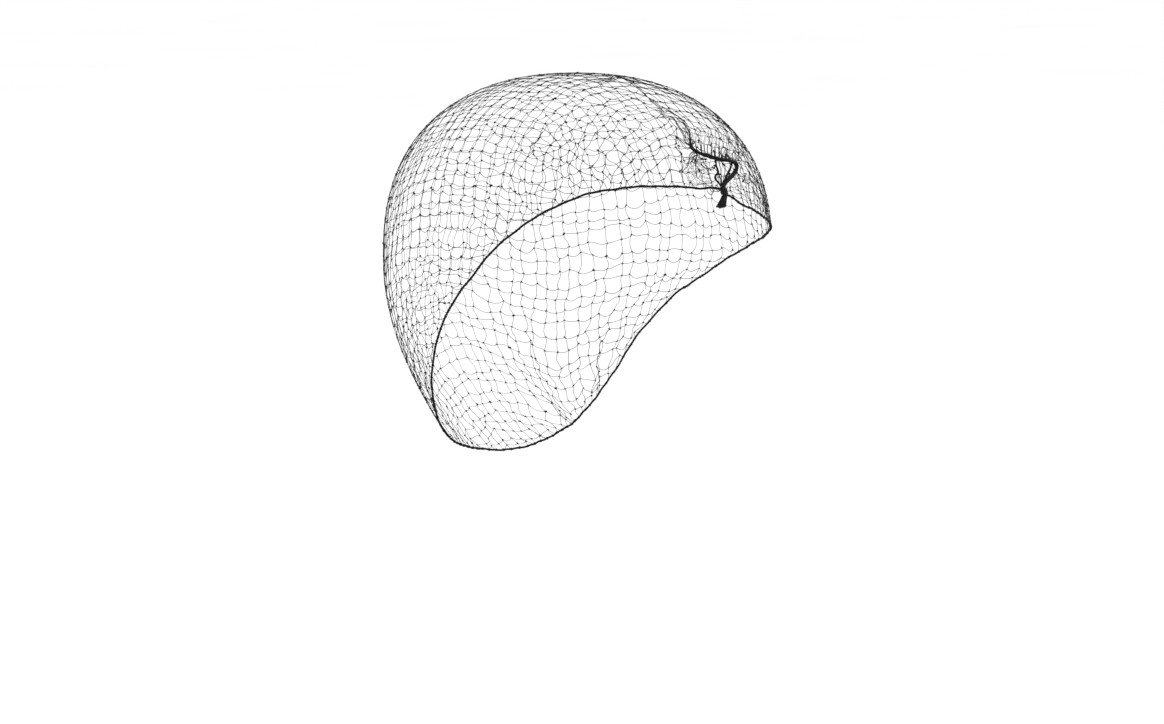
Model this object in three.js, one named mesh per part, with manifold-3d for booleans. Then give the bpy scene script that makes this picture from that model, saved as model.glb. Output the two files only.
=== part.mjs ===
// Hairnet: a fine knotted net cap, drawn in by an elastic edge cord and bunched at the forehead.
// Millimetres, +Z up. The wearer faces -Y, and +X is the wearer's left.
// The origin is the inside of the crown, where it bears on the top of the head.
// A place on the net is given by its turn (degrees from the front, positive to the wearer's left)
// and its drop (how far it lies below the top of the crown).
import * as THREE from "three";
import { mergeVertices } from "three/addons/utils/BufferGeometryUtils.js";
import Module from "manifold-3d";

// Driving dimensions
const WALL = 1; // the net as one soft wall, knots included
const GAP = 0.3; // clearance between neighbouring pieces
const EDGE_GAP = 0.55; // clearance between the net's edge and the elastic, where both are faceted
const ELASTIC_WIDE = 1.2; // covered elastic cord
const KNOT = { turn: -3.8, drop: 48.8, wide: 3.2, tall: 5.2, neck: 0.62, wraps: 3, wrapDepth: 0.35 };
const TUFT = { long: 4.4, rootWide: 2.2, endWide: 4.9, lockWide: 1.5, tipWide: 1.2, locks: 7, lean: -0.6 };
const MEETING_KNOT = { from: 2, to: 9 }; // turns either side of the knot where the elastic comes out to it

// The head form that the net is stretched over: its reach from the crown's axis each way,
// the drop at which it is widest, and how far it tucks in over the next TUCK_SPAN.
const FORM = {
  side: { reach: 77, widestDrop: 83, tuck: 16 },
  front: { reach: 93, widestDrop: 79, tuck: 0 },
  back: { reach: 101, widestDrop: 91, tuck: 77 },
};
const TUCK_SPAN = 100;
const DOME_FULLNESS = 2.38;
const DOME_ROUNDNESS = 2.29;
const PLAN_ROUNDNESS = 2.15;

// The edge of the net, once round the head from the nape, with a row past the nape at each end.
const EDGE = [
  { turn: -210, drop: 175 },
  { turn: -180, drop: 180 },
  { turn: -150, drop: 175 },
  { turn: -132, drop: 167 },
  { turn: -117, drop: 151.5 },
  { turn: -108, drop: 133 },
  { turn: -99, drop: 110.5 },
  { turn: -89, drop: 87.5 },
  { turn: -79, drop: 70 },
  { turn: -67, drop: 56.6 },
  { turn: -52, drop: 47 },
  { turn: -32, drop: 43.7 },
  { turn: -12, drop: 45.4 },
  { turn: -5.2, drop: 47 },
  { turn: -2.2, drop: 49.8 },
  { turn: 10, drop: 56.5 },
  { turn: 28, drop: 65 },
  { turn: 50, drop: 74.7 },
  { turn: 72, drop: 87.7 },
  { turn: 90, drop: 105.7 },
  { turn: 104, drop: 128.7 },
  { turn: 117, drop: 150.7 },
  { turn: 132, drop: 165.7 },
  { turn: 150, drop: 175 },
  { turn: 180, drop: 180 },
  { turn: 210, drop: 175 },
];

// The drawn-up bunch: from the knot it hooks to the wearer's left, doubles back and thins out up the crown.
const BUNCH = [
  { turn: -2.6, drop: 46.1, wide: 2.0 },
  { turn: -1.0, drop: 44.9, wide: 2.4 },
  { turn: 2.4, drop: 42.8, wide: 2.6 },
  { turn: 5.2, drop: 40.4, wide: 2.7 },
  { turn: 5.7, drop: 38.2, wide: 2.7 },
  { turn: 2.6, drop: 36.8, wide: 2.4 },
  { turn: -1.2, drop: 35.5, wide: 2.2 },
  { turn: -5.4, drop: 34.2, wide: 2.4 },
  { turn: -8.7, drop: 32.6, wide: 2.2 },
  { turn: -11.2, drop: 30.6, wide: 2.0 },
  { turn: -10.2, drop: 27.5, wide: 1.6 },
  { turn: -8.1, drop: 24.6, wide: 1.3 },
  { turn: -7.1, drop: 21.2, wide: 1.1 },
  { turn: -8.9, drop: 18.5, wide: 1.0 },
];
// Two thinner strands that leave the bunch and go straight down into the knot.
const STRANDS = [
  [
    { turn: -2.1, drop: 35.9, wide: 1.0 },
    { turn: -2.7, drop: 38.0, wide: 1.1 },
    { turn: -3.1, drop: 40.7, wide: 1.2 },
    { turn: -5.3, drop: 43.1, wide: 1.2 },
    { turn: -4.0, drop: 46.0, wide: 1.2 },
  ],
  [
    { turn: 4.3, drop: 38.0, wide: 1.0 },
    { turn: 3.2, drop: 39.6, wide: 1.1 },
    { turn: 0.6, drop: 42.1, wide: 1.2 },
    { turn: -2.3, drop: 45.6, wide: 1.3 },
  ],
];

// Pleats fan up from the knot, and one soft fold runs on from the bunch to the top of the crown.
const PLEATS = { height: 0.9, every: 12, from: -66, to: 90, near: 15, full: 20, far: 46 };
const FOLD = { height: 1.1, wide: 2.6, from: 24, full: 16, to: 2 };
const FOLD_LINE = [
  { drop: 0, across: 1 },
  { drop: 2, across: -2 },
  { drop: 8, across: -8 },
  { drop: 14, across: -10 },
  { drop: 24, across: -8 },
];

// Facets
const FRONT_ZONE = 27; // turns either side of the front with close columns
const FRONT_STEPS = 46;
const REST_STEPS = 62;
const WALL_ROWS = 18;
const CORD_SIDES = 8;
const ROUND_SIDES = 12;
const ELASTIC_STEPS = 96;
const BUNCH_STEPS = 30;
const STRAND_STEPS = 9;
const LOCK_STEPS = 4;
const BANDS_PER_WRAP = 6;
const NUDGE = 0.5; // a small step in turn or drop, to read a slope of the form

const rad = THREE.MathUtils.degToRad;
const smooth = THREE.MathUtils.smoothstep;

// The value of one column of a table at a place in another column, along a smooth curve through the rows.
function alongTable(table, key, column, at) {
  const last = table.length - 2;
  let i = 0;
  while (i < last && table[i + 1][key] < at) i += 1;
  const slope = (a, b) => (table[b][column] - table[a][column]) / (table[b][key] - table[a][key]);
  const [start, end] = [table[i], table[i + 1]];
  const span = end[key] - start[key];
  const t = THREE.MathUtils.clamp((at - start[key]) / span, 0, 1);
  const leave = slope(Math.max(i - 1, 0), i + 1) * span;
  const arrive = slope(i, Math.min(i + 2, last + 1)) * span;
  const [t2, t3] = [t * t, t * t * t];
  return (
    start[column] * (2 * t3 - 3 * t2 + 1) +
    leave * (t3 - 2 * t2 + t) +
    end[column] * (3 * t2 - 2 * t3) +
    arrive * (t3 - t2)
  );
}

const edgeDrop = (turn) => alongTable(EDGE, "turn", "drop", turn);

// How far the form reaches one way at a drop: a full dome above its widest drop, a tuck below it.
function reachAt({ reach, widestDrop, tuck }, drop) {
  const below = drop - widestDrop;
  if (below > 0) return reach - tuck * (below / TUCK_SPAN) ** 2;
  return reach * (1 - (-below / widestDrop) ** DOME_FULLNESS) ** (1 / DOME_ROUNDNESS);
}

// The smooth form, before any pleat.
function formPoint(turn, drop) {
  const squarer = (v) => Math.sign(v) * Math.abs(v) ** (2 / PLAN_ROUNDNESS);
  const [across, ahead] = [squarer(Math.sin(rad(turn))), squarer(Math.cos(rad(turn)))];
  const forward = ahead > 0 ? FORM.front : FORM.back;
  return new THREE.Vector3(
    reachAt(FORM.side, drop) * across,
    -reachAt(forward, drop) * ahead,
    WALL - drop,
  );
}

// The form's tangent down a meridian and its outward normal.
function formFrame(turn, drop) {
  const step = Math.min(NUDGE, drop / 4);
  const round = formPoint(turn + NUDGE, drop).sub(formPoint(turn - NUDGE, drop));
  const down = formPoint(turn, drop + step).sub(formPoint(turn, drop - step)).normalize();
  return { down, normal: down.clone().cross(round).normalize() };
}

// How far pleats and the fold lift the net at a point of the form.
function relief(point, drop) {
  const knot = formPoint(KNOT.turn, KNOT.drop);
  const away = point.distanceTo(knot);
  const across = point.x - knot.x;
  const up = Math.sqrt(Math.max(away ** 2 - across ** 2, 0)) * Math.sign(KNOT.drop - drop);
  const angle = THREE.MathUtils.radToDeg(Math.atan2(across, up));
  const inFan =
    smooth(angle, PLEATS.from, PLEATS.from + PLEATS.every) *
    (1 - smooth(angle, PLEATS.to - PLEATS.every, PLEATS.to)) *
    smooth(away, PLEATS.near, PLEATS.full) *
    (1 - smooth(away, PLEATS.full, PLEATS.far));
  const pleat = PLEATS.height * inFan * (0.5 + 0.5 * Math.cos((2 * Math.PI * angle) / PLEATS.every));
  const offLine = (point.x - alongTable(FOLD_LINE, "drop", "across", drop)) / FOLD.wide;
  const onFold = smooth(drop, 0, FOLD.to) * (1 - smooth(drop, FOLD.full, FOLD.from));
  const fold = point.y > 0 ? 0 : FOLD.height * onFold * Math.exp(-(offLine ** 2));
  return Math.max(pleat, fold);
}

// A point above the net's outer face, clear of the pleats beside it too.
function raised(turn, drop, out) {
  const lifts = [-3, -1.5, 0, 1.5, 3].map((beside) => relief(formPoint(turn + beside, drop), drop));
  return formPoint(turn, drop).addScaledVector(formFrame(turn, drop).normal, Math.max(...lifts) + out);
}

// One closed surface through rings of points. An end ring of one point closes that end.
function skin(rings) {
  const starts = [];
  let count = 0;
  for (const ring of rings) {
    starts.push(count);
    count += ring.length;
  }
  const index = [];
  for (let r = 0; r + 1 < rings.length; r += 1) {
    const [a, b] = [rings[r].length, rings[r + 1].length];
    for (let i = 0; i < Math.max(a, b); i += 1) {
      const [a0, a1] = [starts[r] + (i % a), starts[r] + ((i + 1) % a)];
      const [b0, b1] = [starts[r + 1] + (i % b), starts[r + 1] + ((i + 1) % b)];
      if (a > 1) index.push(a0, b0, a1);
      if (b > 1) index.push(a1, b0, b1);
    }
  }
  return new THREE.BufferGeometry().setFromPoints(rings.flat()).setIndex(index);
}

// A round section that changes its width along a curve, with closed ends.
function taperedTube(curve, widthAt, steps) {
  const { normals, binormals } = curve.computeFrenetFrames(steps);
  const rings = [[curve.getPointAt(0)]];
  for (let s = 0; s <= steps; s += 1) {
    const centre = curve.getPointAt(s / steps);
    const radius = widthAt(s / steps) / 2;
    const ring = [];
    for (let k = 0; k < CORD_SIDES; k += 1) {
      const a = (2 * Math.PI * k) / CORD_SIDES;
      const spoke = normals[s].clone().multiplyScalar(Math.cos(a) * radius);
      ring.push(spoke.addScaledVector(binormals[s], -Math.sin(a) * radius).add(centre));
    }
    rings.push(ring);
  }
  return skin([...rings, [curve.getPointAt(1)]]);
}

// Joining solids
const wasm = await Module();
wasm.setup();

function solidOf(geometry) {
  const bare = new THREE.BufferGeometry().setAttribute("position", geometry.getAttribute("position"));
  if (geometry.index) bare.setIndex(geometry.index);
  const merged = mergeVertices(bare);
  return new wasm.Manifold(
    new wasm.Mesh({
      numProp: 3,
      vertProperties: new Float32Array(merged.getAttribute("position").array),
      triVerts: new Uint32Array(merged.index.array),
    }),
  );
}

function joined(geometries) {
  const mesh = geometries.map(solidOf).reduce((whole, next) => whole.add(next)).getMesh();
  return new THREE.BufferGeometry()
    .setAttribute("position", new THREE.BufferAttribute(mesh.vertProperties, 3))
    .setIndex(new THREE.BufferAttribute(mesh.triVerts, 1));
}

// The net: an outer and an inner face from the top of the crown to the edge, with close columns in front.
function netCrown() {
  const turns = [];
  for (let i = 0; i < FRONT_STEPS; i += 1) turns.push(-FRONT_ZONE + (2 * FRONT_ZONE * i) / FRONT_STEPS);
  for (let i = 0; i < REST_STEPS; i += 1) {
    const turn = FRONT_ZONE + ((360 - 2 * FRONT_ZONE) * i) / REST_STEPS;
    turns.push(turn > 180 ? turn - 360 : turn);
  }
  const face = (row, out) =>
    turns.map((turn) => {
      const drop = edgeDrop(turn) * (1 - Math.cos((Math.PI / 2) * (row / WALL_ROWS)));
      const point = formPoint(turn, drop);
      const lift = relief(point, drop) + out;
      return point.addScaledVector(formFrame(turn, drop).normal, lift);
    });
  const rows = Array.from({ length: WALL_ROWS }, (_, i) => i + 1);
  return skin([
    [new THREE.Vector3(0, 0, WALL)],
    ...rows.map((row) => face(row, 0)),
    ...rows.toReversed().map((row) => face(row, -WALL)),
    [new THREE.Vector3(0, 0, 0)],
  ]);
}

// A point of the elastic: under the net's edge, and brought out to the side of the knot near it.
function elasticPoint(turn) {
  const drop = edgeDrop(turn);
  const edge = formPoint(turn, drop);
  const edgeAt = (place) => formPoint(place, edgeDrop(place));
  const ahead = edgeAt(turn + NUDGE).sub(edgeAt(turn - NUDGE)).normalize();
  const { normal } = formFrame(turn, drop);
  const under = ahead.cross(normal);
  const nearKnot = 1 - smooth(Math.abs(turn - KNOT.turn), MEETING_KNOT.from, MEETING_KNOT.to);
  return edge
    .addScaledVector(normal, -WALL / 2 + nearKnot * (WALL / 2 + GAP + KNOT.wide / 2))
    .addScaledVector(under, ELASTIC_WIDE / 2 + EDGE_GAP);
}

function edgeElastic() {
  const clear = THREE.MathUtils.radToDeg((KNOT.wide / 2 + GAP) / reachAt(FORM.side, KNOT.drop));
  const [start, end] = [KNOT.turn + clear, KNOT.turn + 360 - clear];
  const points = [];
  for (let i = 0; i <= ELASTIC_STEPS; i += 1) {
    const eased = i / ELASTIC_STEPS - Math.sin((2 * Math.PI * i) / ELASTIC_STEPS) / 8;
    const turn = start + (end - start) * eased;
    points.push(elasticPoint(turn > 180 ? turn - 360 : turn));
  }
  const section = new THREE.Shape().absarc(0, 0, ELASTIC_WIDE / 2, 0, 2 * Math.PI);
  return new THREE.ExtrudeGeometry(section, {
    extrudePath: new THREE.CatmullRomCurve3(points),
    steps: ELASTIC_STEPS,
    curveSegments: CORD_SIDES / 2,
  });
}

// A strand that lies on the net, its rows giving place and width.
function strand(rows, steps) {
  const places = rows.map(({ turn, drop, wide }) => raised(turn, drop, wide / 2 + GAP));
  const order = rows.map((row, i) => ({ at: i / (rows.length - 1), wide: row.wide }));
  return taperedTube(
    new THREE.CatmullRomCurve3(places, false, "centripetal"),
    (at) => alongTable(order, "at", "wide", at),
    steps,
  );
}

function frontGather() {
  return joined([strand(BUNCH, BUNCH_STEPS), ...STRANDS.map((rows) => strand(rows, STRAND_STEPS))]);
}

// Where the knot stands: its middle, and its own axes with +Z up the forehead.
function knotPlace() {
  const { down, normal } = formFrame(KNOT.turn, KNOT.drop);
  const up = down.negate();
  const lean = new THREE.Matrix4().makeBasis(up.clone().cross(normal), normal.clone().negate(), up);
  return lean.setPosition(raised(KNOT.turn, KNOT.drop, KNOT.wide / 2 + GAP));
}

// Three turns of thread, pulled tight.
function frontKnot() {
  const profile = [new THREE.Vector2(0, -KNOT.tall / 2)];
  const bands = KNOT.wraps * BANDS_PER_WRAP;
  for (let i = 0; i <= bands; i += 1) {
    const at = i / bands;
    const barrel = KNOT.neck + (1 - KNOT.neck) * Math.sin(Math.PI * at);
    const groove = KNOT.wrapDepth * (0.5 + 0.5 * Math.cos(2 * Math.PI * KNOT.wraps * at));
    profile.push(new THREE.Vector2((KNOT.wide / 2) * barrel - groove, KNOT.tall * (at - 0.5)));
  }
  profile.push(new THREE.Vector2(0, KNOT.tall / 2));
  return new THREE.LatheGeometry(profile, ROUND_SIDES).rotateX(Math.PI / 2).applyMatrix4(knotPlace());
}

// The cut ends below the knot: locks that spread from one root.
function endTuft() {
  const root = -KNOT.tall / 2 - GAP - (TUFT.rootWide / 2) * Math.abs(TUFT.lean);
  const lockAt = (i) => {
    const angle = (2 * Math.PI * i) / TUFT.locks;
    const spread = (TUFT.endWide - TUFT.lockWide) / 2;
    const start = (TUFT.rootWide - TUFT.lockWide) / 2;
    const place = (radius, down) =>
      new THREE.Vector3(Math.cos(angle) * radius + TUFT.lean * down, Math.sin(angle) * radius, root - down);
    const curve = new THREE.QuadraticBezierCurve3(
      place(start, 0),
      place(start, TUFT.long / 2),
      place(spread, TUFT.long),
    );
    return taperedTube(curve, (at) => THREE.MathUtils.lerp(TUFT.lockWide, TUFT.tipWide, at), LOCK_STEPS);
  };
  const core = new THREE.CylinderGeometry(TUFT.rootWide / 2, TUFT.rootWide / 2, TUFT.long / 2, ROUND_SIDES)
    .rotateX(Math.PI / 2)
    .translate(TUFT.lean * (TUFT.long / 4), 0, root - TUFT.long / 4);
  const locks = Array.from({ length: TUFT.locks }, (_, i) => lockAt(i));
  return joined([core, ...locks]).applyMatrix4(knotPlace());
}

// Materials: black nylon thread, and elastic covered in black yarn
const netNylon = new THREE.MeshStandardMaterial({ color: 0x1c1a1a, roughness: 0.55, metalness: 0 });
const coveredElastic = new THREE.MeshStandardMaterial({ color: 0x121213, roughness: 0.7, metalness: 0 });
const bunchedNylon = new THREE.MeshStandardMaterial({ color: 0x161415, roughness: 0.6, metalness: 0 });

const hairnet = new THREE.Group();
const PIECES = [
  ["net_crown", netCrown(), netNylon],
  ["edge_elastic", edgeElastic(), coveredElastic],
  ["front_gather", frontGather(), bunchedNylon],
  ["front_knot", frontKnot(), bunchedNylon],
  ["end_tuft", endTuft(), bunchedNylon],
];
for (const [name, geometry, material] of PIECES) {
  const piece = new THREE.Mesh(geometry, material);
  piece.name = name;
  hairnet.add(piece);
}

export default hairnet;
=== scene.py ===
# %% [markdown]
# A hairnet is a bag of hair-fine knotted net. An elastic cord draws in its edge, and at the front the
# spare net is gathered into a bunch and tied off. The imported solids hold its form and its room; the
# threads are made here. Everything is worked out in millimetres in the frame of the solids, and is
# turned to metres only when a mesh is filled.

import bpy
import numpy as np
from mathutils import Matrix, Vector


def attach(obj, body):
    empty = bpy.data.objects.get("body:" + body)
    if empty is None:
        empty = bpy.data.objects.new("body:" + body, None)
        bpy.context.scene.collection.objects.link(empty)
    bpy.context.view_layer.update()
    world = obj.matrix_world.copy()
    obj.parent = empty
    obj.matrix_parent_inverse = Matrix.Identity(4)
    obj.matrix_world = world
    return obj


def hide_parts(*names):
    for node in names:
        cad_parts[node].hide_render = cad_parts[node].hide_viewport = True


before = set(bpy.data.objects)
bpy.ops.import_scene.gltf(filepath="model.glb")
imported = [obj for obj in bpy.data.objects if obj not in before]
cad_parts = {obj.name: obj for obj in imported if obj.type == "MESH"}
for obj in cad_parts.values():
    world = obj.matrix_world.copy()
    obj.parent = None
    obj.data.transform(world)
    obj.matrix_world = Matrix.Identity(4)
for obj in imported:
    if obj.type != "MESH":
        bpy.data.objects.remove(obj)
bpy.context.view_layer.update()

MM = 0.001
chance = np.random.default_rng(41)
print("solids:", ", ".join(sorted(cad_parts)))

# %% [markdown]
# A camera at the angle of the picture comes first, so that each piece can be judged once it is made. The
# lens and the aim were solved from the net's outline: one pixel is about 0.47 mm at its middle.

# %% camera
PICTURE_WIDE = 1164
PICTURE_HIGH = 724
SENSOR_WIDE = 36
FOCAL_PIXELS = 2795.7
AIM = Vector((0, 0, -94)) * MM
AIM_PIXEL = (579.85, 277.77)
FROM_TURN = np.radians(-48)
FROM_ABOVE = np.radians(7.26)
FROM_FAR = 1.3

level = np.cos(FROM_ABOVE)
back = Vector((np.sin(FROM_TURN) * level, -np.cos(FROM_TURN) * level, np.sin(FROM_ABOVE)))
right = Vector((0, 0, 1)).cross(back).normalized()
up = back.cross(right)
across = (AIM_PIXEL[0] - PICTURE_WIDE / 2) / FOCAL_PIXELS
above = (PICTURE_HIGH / 2 - AIM_PIXEL[1]) / FOCAL_PIXELS
looking = (-back - right * across - up * above).normalized()

lens = bpy.data.cameras.new("camera")
lens.sensor_width = SENSOR_WIDE
lens.lens = SENSOR_WIDE * FOCAL_PIXELS / PICTURE_WIDE
lens.clip_end = 100
camera = bpy.data.objects.new("camera", lens)
camera.location = AIM + back * FROM_FAR
camera.rotation_mode = "QUATERNION"
camera.rotation_quaternion = looking.to_track_quat("-Z", "Y")
bpy.context.scene.collection.objects.link(camera)
bpy.context.scene.camera = camera
print("lens of", round(lens.lens, 1), "mm")

# %% [markdown]
# The net lies on a smooth form, the same as the solid crown's: in plan each level is a superellipse, and
# in height a full dome runs down to the widest level and tucks in below it. A place on it has a turn
# (degrees from the front, positive to the wearer's left) and a drop below the top.

# %% the form
WALL = 1.0
FORM = {"side": (77, 83, 16), "front": (93, 79, 0), "back": (101, 91, 77)}
TUCK_SPAN = 100
DOME_FULLNESS = 2.38
DOME_ROUNDNESS = 2.29
PLAN_ROUNDNESS = 2.15


def unit(vectors):
    """Vectors of length one."""
    return vectors / np.linalg.norm(vectors, axis=-1, keepdims=True)


def bent(values, power):
    """Values raised to a power, with their signs kept."""
    return np.sign(values) * np.abs(values) ** power


def reach_at(way, drop):
    """How far the form reaches one way: reach (1 - (1 - drop / widest)^fullness)^(1 / roundness) down to
    the widest drop, and less by a parabola, tuck (below / span)^2, under it."""
    reach, widest, tuck = FORM[way]
    short = np.clip(1 - drop / widest, 0, 1)
    below = np.clip(drop - widest, 0, None) / TUCK_SPAN
    return reach * (1 - short**DOME_FULLNESS) ** (1 / DOME_ROUNDNESS) - tuck * below**2


def form_point(turn, drop):
    """A point of the form: at each drop, a superellipse of its side and its front or back reach."""
    turn, drop = np.broadcast_arrays(np.asarray(turn, float), np.asarray(drop, float))
    cosine = np.cos(np.radians(turn))
    length = np.where(cosine > 0, reach_at("front", drop), reach_at("back", drop))
    x = reach_at("side", drop) * bent(np.sin(np.radians(turn)), 2 / PLAN_ROUNDNESS)
    y = -length * bent(cosine, 2 / PLAN_ROUNDNESS)
    return np.stack([x, y, WALL - drop], axis=-1)


print("form reaches", form_point([0, 90, 180], 83).round(1).tolist())

# %% [markdown]
# Threads wander over the form, so any point has to find its way back to it. A number that is 1 on the
# form and less inside tells in from out. A point is then slid along the line from the form's heart until
# that number is 1, and the slope of the number gives the outward direction.

# %% lay points on the form
HEART = np.array([0.0, 4.0, -75.0])
FROM_HEART = (20.0, 160.0)
LEAST_DROP = 1e-4
FAR_OUTSIDE = 4.0
NUDGE = 0.05


def shares_at(points):
    """Drops of points, and their x and y as shares of the form's reaches at their own level."""
    drop = np.clip(WALL - points[..., 2], LEAST_DROP, None)
    length = np.where(points[..., 1] < 0, reach_at("front", drop), reach_at("back", drop))
    return drop, points[..., 0] / reach_at("side", drop), points[..., 1] / length


def fill_at(points):
    """1 on the form, less inside: (share of the side reach)^roundness + (share of the front or back
    reach)^roundness. Whatever is higher than the top is far outside."""
    _, wide, long = shares_at(points)
    fill = np.abs(wide) ** PLAN_ROUNDNESS + np.abs(long) ** PLAN_ROUNDNESS
    return np.where(points[..., 2] > WALL, FAR_OUTSIDE, fill)


def on_form(points, halvings=16):
    """Points slid along the line from the heart until they lie on the form, by halving the room between
    a point inside and a point outside."""
    ray = unit(points - HEART)
    inner = np.full(points.shape[:-1], FROM_HEART[0])
    outer = np.full(points.shape[:-1], FROM_HEART[1])
    for _ in range(halvings):
        middle = (inner + outer) / 2
        inside = fill_at(HEART + ray * middle[..., None]) < 1
        inner = np.where(inside, middle, inner)
        outer = np.where(inside, outer, middle)
    return HEART + ray * inner[..., None]


def outward(points):
    """Outward directions: the slope of fill_at along each axis, read a little either side."""
    slopes = [fill_at(points + NUDGE * axis) - fill_at(points - NUDGE * axis) for axis in np.eye(3)]
    return unit(np.stack(slopes, axis=-1))


print("top of the form at", on_form(np.array([0.0, 0.0, 20.0])).round(2).tolist())

# %% [markdown]
# The net's edge slants from high at the front, down both sides, to low at the back. The elastic runs
# just below it and comes out to the knot at the front. Both follow one short table of drops, as the
# solids do.

# %% the edge and the line of the elastic
EDGE = np.array([
    (-210, 175), (-180, 180), (-150, 175), (-132, 167), (-117, 151.5), (-108, 133), (-99, 110.5),
    (-89, 87.5), (-79, 70), (-67, 56.6), (-52, 47), (-32, 43.7), (-12, 45.4), (-5.2, 47), (-2.2, 49.8),
    (10, 56.5), (28, 65), (50, 74.7), (72, 87.7), (90, 105.7), (104, 128.7), (117, 150.7), (132, 165.7),
    (150, 175), (180, 180), (210, 175),
])
ELASTIC_WIDE = 1.2
ELASTIC_WANDER = 0.15
KNOT_PULL = (2, 9)
EDGE_GAP = 0.55
GAP = 0.3
KNOT_TURN = -3.8
KNOT_DROP = 48.8
KNOT_WIDE = 3.2
KNOT_TALL = 5.2


def along_table(keys, values, at):
    """A smooth curve through the rows of a table: cubic pieces whose slope at a row is that of the line
    between the rows either side."""
    keys = np.asarray(keys, float)
    values = np.asarray(values, float)
    last = len(keys) - 1
    i = np.clip(np.searchsorted(keys, at) - 1, 0, last - 1)
    before = np.maximum(i - 1, 0)
    after = np.minimum(i + 2, last)
    span = keys[i + 1] - keys[i]
    t = np.clip((at - keys[i]) / span, 0, 1)
    pad = (...,) + (None,) * (values.ndim - 1)
    leave = (values[i + 1] - values[before]) * (span / (keys[i + 1] - keys[before]))[pad]
    arrive = (values[after] - values[i]) * (span / (keys[after] - keys[i]))[pad]
    t = t[pad]
    start = values[i] * (2 * t**3 - 3 * t**2 + 1) + leave * (t**3 - 2 * t**2 + t)
    return start + values[i + 1] * (3 * t**2 - 2 * t**3) + arrive * (t**3 - t**2)


def ease(value, low, high):
    """0 below low, 1 above high, and 3 t^2 - 2 t^3 between."""
    t = np.clip((value - low) / (high - low), 0, 1)
    return t * t * (3 - 2 * t)


def half_turned(turn):
    """Turns brought between -180 and 180 degrees."""
    return (np.asarray(turn, float) + 180) % 360 - 180


def edge_drop(turn):
    """The drop of the net's edge at a turn, on the smooth curve through its table."""
    return along_table(EDGE[:, 0], EDGE[:, 1], turn)


def edge_point(turn):
    """The point of the net's edge at a turn."""
    turn = half_turned(turn)
    return form_point(turn, edge_drop(turn))


def elastic_point(turn):
    """The elastic's middle: under the edge by half its width and a gap, in the middle of the net's wall,
    and brought out to the side of the knot near it. The uneven pull of the net is a sum of two sines."""
    turn = np.asarray(turn, float)
    edge = edge_point(turn)
    out = outward(edge)
    ahead = unit(edge_point(turn + 0.5) - edge_point(turn - 0.5))
    near_knot = 1 - ease(np.abs(half_turned(turn - KNOT_TURN)), *KNOT_PULL)
    lift = -WALL / 2 + near_knot * (WALL / 2 + GAP + KNOT_WIDE / 2)
    wander = np.sin(np.radians(23 * turn)) + 0.7 * np.sin(np.radians(57 * turn + 40))
    under = ELASTIC_WIDE / 2 + EDGE_GAP + ELASTIC_WANDER * wander * (1 - near_knot)
    return edge + out * lift[..., None] + np.cross(ahead, out) * under[..., None]


def travel_along(points):
    """Distance along a line at each of its points: the lengths between the points so far, summed."""
    return np.concatenate([[0], np.linalg.norm(np.diff(points, axis=0), axis=1).cumsum()])


edge_round = travel_along(elastic_point(np.linspace(-180, 180, 721)))[-1]
print("elastic is", round(edge_round), "mm round")

# %% [markdown]
# At the front the net is drawn up. Pleats fan out above the knot, a bunch of strands hooks to the
# wearer's left and doubles back, and one long fold carries on over the top. Their heights and lines
# repeat the solids' values, so that threads which follow them stay within the solids' room. Here and
# there the strands of the bunch are drawn together to less than the solid's width.

# %% pleats, the fold and the bunch
PLEATS = {"height": 0.9, "every": 12, "from": -66, "to": 90, "near": 15, "full": 20, "far": 46}
FOLD = {"height": 1.1, "wide": 2.6, "from": 24, "full": 16, "to": 2}
FOLD_LINE = np.array([(0, 1), (2, -2), (8, -8), (14, -10), (24, -8)])
BUNCH = np.array([
    (-2.6, 46.1, 2.0), (-1.0, 44.9, 2.4), (2.4, 42.8, 2.6), (5.2, 40.4, 2.7), (5.7, 38.2, 2.7),
    (2.6, 36.8, 2.4), (-1.2, 35.5, 2.2), (-5.4, 34.2, 2.4), (-8.7, 32.6, 2.2), (-11.2, 30.6, 2.0),
    (-10.2, 27.5, 1.6), (-8.1, 24.6, 1.3), (-7.1, 21.2, 1.1), (-8.9, 18.5, 1.0),
])
STRANDS = [
    np.array([
        (-2.1, 35.9, 1.0), (-2.7, 38.0, 1.1), (-3.1, 40.7, 1.2), (-5.3, 43.1, 1.2), (-4.0, 46.0, 1.2),
    ]),
    np.array([(4.3, 38.0, 1.0), (3.2, 39.6, 1.1), (0.6, 42.1, 1.2), (-2.3, 45.6, 1.3)]),
]
BUNCH_DRAWN = np.array([1, 0.9, 0.75, 0.68, 0.78, 0.82, 0.82, 0.9, 0.62, 0.95, 1, 1, 1, 1])
BUNCH_POINTS = 90
MOUTH_DEEP = 1
MOUTH_SHARE = 0.8
KNOT_SPOT = form_point(KNOT_TURN, KNOT_DROP)


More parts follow.
